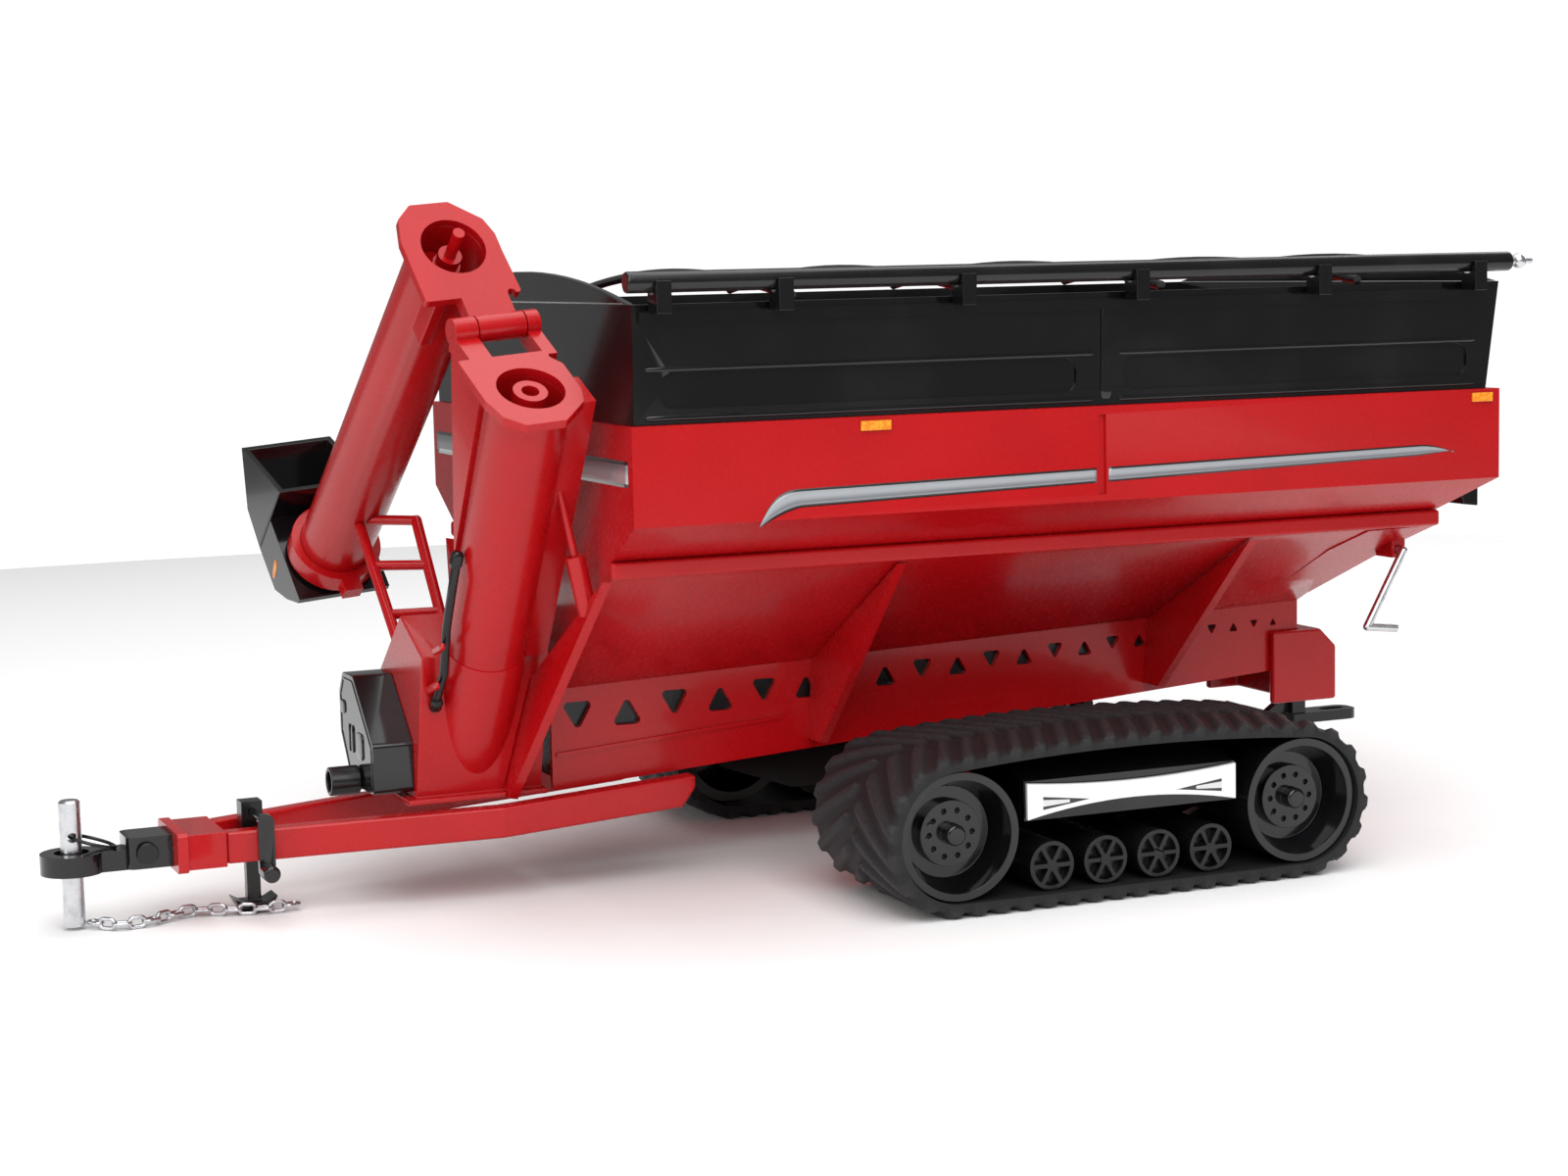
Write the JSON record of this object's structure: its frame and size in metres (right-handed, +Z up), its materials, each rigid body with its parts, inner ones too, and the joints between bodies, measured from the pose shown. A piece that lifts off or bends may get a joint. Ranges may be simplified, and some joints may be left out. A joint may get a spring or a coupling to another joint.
{
  "type": "scale model grain cart",
  "caption": "Small die-cast style model of a tracked grain cart: hopper with sideboards and rolled tarp, folding side auger with spout, tongue with jack, tracks with rollers.",
  "frame": {"origin": "centre of the overall box at ground level", "axes": "+X forward towards the hitch, +Y to the left, where the auger unloads, +Z up"},
  "size_m": [0.1432, 0.074, 0.0662],
  "materials": {
    "red_paint": "glossy",
    "black_gloss": "glossy",
    "black_satin": "satin",
    "belt_rubber": "matte",
    "bright_metal": "polished",
    "amber_lens": "glossy",
    "tarp_black": "satin"
  },
  "bodies": {
    "chassis": {"auger_boot": "red_paint", "auger_rest": "red_paint", "axle_beam": "red_paint", "end_bulkheads": "black_gloss", "fold_brace": "red_paint", "frame_rails": "red_paint", "gearbox": "black_gloss", "hinge_pin": "red_paint", "hitch_bolt": "black_satin", "hitch_casting": "black_satin", "hopper_extension": "black_gloss", "hopper_tub": "red_paint", "hydraulic_hose": "black_satin", "jack_sleeve": "black_satin", "lower_flange": "red_paint", "lower_tube": "red_paint", "rail_core": "black_satin", "rear_frame": "red_paint", "rear_hitch": "black_satin", "rear_lamps": "black_satin", "ridge_rails": "red_paint", "safety_chain": "bright_metal", "side_gussets": "red_paint", "side_reflectors": "amber_lens", "tarp_bows": "black_satin", "tarp_latches": "black_satin", "tongue_beams": "red_paint", "tongue_nose": "red_paint"},
    "upper_auger": {"upper_flange": "red_paint", "upper_tube": "red_paint", "spout_collar": "red_paint"},
    "spout": {"spout_hood": "black_gloss"},
    "upper_screw": {"upper_flighting": "red_paint"},
    "lower_screw": {"lower_flighting": "red_paint"},
    "input_stub": {"pto_stub": "black_satin"},
    "draw_pin": {"hitch_pin": "bright_metal", "pin_ring": "black_satin"},
    "jack_leg": {"jack_leg": "black_satin"},
    "jack_crank": {"jack_crank": "black_satin"},
    "tarp_roll": {"tarp_roll": "tarp_black", "roll_knob": "bright_metal"},
    "tarp_crank": {"tarp_crank": "bright_metal"},
    "track_left": {"track_frame_left": "black_satin", "track_panel_left": "bright_metal", "belt_left": "belt_rubber"},
    "front_wheel_left": {"front_wheel_left": "black_satin"},
    "rear_wheel_left": {"rear_wheel_left": "black_satin"},
    "roller_1_left": {"roller_1_left": "black_satin"},
    "roller_2_left": {"roller_2_left": "black_satin"},
    "roller_3_left": {"roller_3_left": "black_satin"},
    "roller_4_left": {"roller_4_left": "black_satin"},
    "track_right": {"track_frame_right": "black_satin", "track_panel_right": "bright_metal", "belt_right": "belt_rubber"},
    "front_wheel_right": {"front_wheel_right": "black_satin"},
    "rear_wheel_right": {"rear_wheel_right": "black_satin"},
    "roller_1_right": {"roller_1_right": "black_satin"},
    "roller_2_right": {"roller_2_right": "black_satin"},
    "roller_3_right": {"roller_3_right": "black_satin"},
    "roller_4_right": {"roller_4_right": "black_satin"}
  },
  "joints": [
    {"name": "auger_fold", "type": "hinge", "parent": "chassis", "child": "upper_auger", "pos_m": [0.03172, 0.01979, 0.05479], "axis": [0.9903, 0.1163, -0.0764], "range_deg": [-161, 0]},
    {"name": "spout_turn", "type": "hinge", "parent": "upper_auger", "child": "spout", "pos_m": [0.03628, -0.02638, 0.03052], "axis": [0.0453, -0.7886, -0.6133], "range_deg": [-25, 25]},
    {"name": "upper_screw_spin", "type": "hinge", "parent": "upper_auger", "child": "upper_screw", "pos_m": [0.03395, 0.01423, 0.0621], "axis": [0.0453, -0.7886, -0.6133], "continuous": true},
    {"name": "lower_screw_spin", "type": "hinge", "parent": "chassis", "child": "lower_screw", "pos_m": [0.0314, 0.02769, 0.0496], "axis": [0, 0.549, 0.8358], "continuous": true},
    {"name": "input_spin", "type": "hinge", "parent": "chassis", "child": "input_stub", "pos_m": [0.0413, 0.00134, 0.0116], "axis": [1, 0, 0], "continuous": true},
    {"name": "draw_pin_lift", "type": "slide", "parent": "chassis", "child": "draw_pin", "axis": [0, 0, 1], "range_m": [0, 0.009]},
    {"name": "jack_leg_slide", "type": "slide", "parent": "chassis", "child": "jack_leg", "axis": [0, 0, 1], "range_m": [0, 0.0024]},
    {"name": "jack_crank_turn", "type": "hinge", "parent": "chassis", "child": "jack_crank", "pos_m": [0.052, 0.00754, 0.0096], "axis": [0, 1, 0], "range_deg": [0, 720]},
    {"name": "tarp_roll_spin", "type": "hinge", "parent": "chassis", "child": "tarp_roll", "pos_m": [0.0238, 0.03304, 0.05855], "axis": [1, 0, 0], "continuous": true},
    {"name": "tarp_crank_swing", "type": "hinge", "parent": "chassis", "child": "tarp_crank", "pos_m": [-0.0631, 0.02194, 0.0293], "axis": [0, 1, 0], "range_deg": [-40, 75]},
    {"name": "track_rock_left", "type": "hinge", "parent": "chassis", "child": "track_left", "pos_m": [-0.0237, 0.02824, 0.0114], "axis": [0, 1, 0], "range_deg": [-8, 8]},
    {"name": "front_wheel_spin_left", "type": "hinge", "parent": "track_left", "child": "front_wheel_left", "pos_m": [-0.0054, 0.02824, 0.00755], "axis": [0, 1, 0], "continuous": true},
    {"name": "rear_wheel_spin_left", "type": "hinge", "parent": "track_left", "child": "rear_wheel_left", "pos_m": [-0.042, 0.02824, 0.00755], "axis": [0, 1, 0], "continuous": true},
    {"name": "roller_1_spin_left", "type": "hinge", "parent": "track_left", "child": "roller_1_left", "pos_m": [-0.01515, 0.02824, 0.0038], "axis": [0, 1, 0], "continuous": true},
    {"name": "roller_2_spin_left", "type": "hinge", "parent": "track_left", "child": "roller_2_left", "pos_m": [-0.02085, 0.02824, 0.0038], "axis": [0, 1, 0], "continuous": true},
    {"name": "roller_3_spin_left", "type": "hinge", "parent": "track_left", "child": "roller_3_left", "pos_m": [-0.02655, 0.02824, 0.0038], "axis": [0, 1, 0], "continuous": true},
    {"name": "roller_4_spin_left", "type": "hinge", "parent": "track_left", "child": "roller_4_left", "pos_m": [-0.03225, 0.02824, 0.0038], "axis": [0, 1, 0], "continuous": true},
    {"name": "track_rock_right", "type": "hinge", "parent": "chassis", "child": "track_right", "pos_m": [-0.0237, -0.02556, 0.0114], "axis": [0, 1, 0], "range_deg": [-8, 8]},
    {"name": "front_wheel_spin_right", "type": "hinge", "parent": "track_right", "child": "front_wheel_right", "pos_m": [-0.0054, -0.02556, 0.00755], "axis": [0, 1, 0], "continuous": true},
    {"name": "rear_wheel_spin_right", "type": "hinge", "parent": "track_right", "child": "rear_wheel_right", "pos_m": [-0.042, -0.02556, 0.00755], "axis": [0, 1, 0], "continuous": true},
    {"name": "roller_1_spin_right", "type": "hinge", "parent": "track_right", "child": "roller_1_right", "pos_m": [-0.01515, -0.02556, 0.0038], "axis": [0, 1, 0], "continuous": true},
    {"name": "roller_2_spin_right", "type": "hinge", "parent": "track_right", "child": "roller_2_right", "pos_m": [-0.02085, -0.02556, 0.0038], "axis": [0, 1, 0], "continuous": true},
    {"name": "roller_3_spin_right", "type": "hinge", "parent": "track_right", "child": "roller_3_right", "pos_m": [-0.02655, -0.02556, 0.0038], "axis": [0, 1, 0], "continuous": true},
    {"name": "roller_4_spin_right", "type": "hinge", "parent": "track_right", "child": "roller_4_right", "pos_m": [-0.03225, -0.02556, 0.0038], "axis": [0, 1, 0], "continuous": true}
  ],
  "couplings": [
    {"joint": "lower_screw_spin", "follows": "input_spin", "ratio": -1},
    {"joint": "jack_crank_turn", "follows": "jack_leg_slide", "rad_per_m": 5236},
    {"joint": "roller_1_spin_left", "follows": "front_wheel_spin_left", "ratio": 2.6087},
    {"joint": "roller_2_spin_left", "follows": "front_wheel_spin_left", "ratio": 2.6087},
    {"joint": "roller_3_spin_left", "follows": "front_wheel_spin_left", "ratio": 2.6087},
    {"joint": "roller_4_spin_left", "follows": "front_wheel_spin_left", "ratio": 2.6087},
    {"joint": "rear_wheel_spin_left", "follows": "front_wheel_spin_left", "ratio": 1},
    {"joint": "roller_1_spin_right", "follows": "front_wheel_spin_right", "ratio": 2.6087},
    {"joint": "roller_2_spin_right", "follows": "front_wheel_spin_right", "ratio": 2.6087},
    {"joint": "roller_3_spin_right", "follows": "front_wheel_spin_right", "ratio": 2.6087},
    {"joint": "roller_4_spin_right", "follows": "front_wheel_spin_right", "ratio": 2.6087},
    {"joint": "rear_wheel_spin_right", "follows": "front_wheel_spin_right", "ratio": 1}
  ]
}
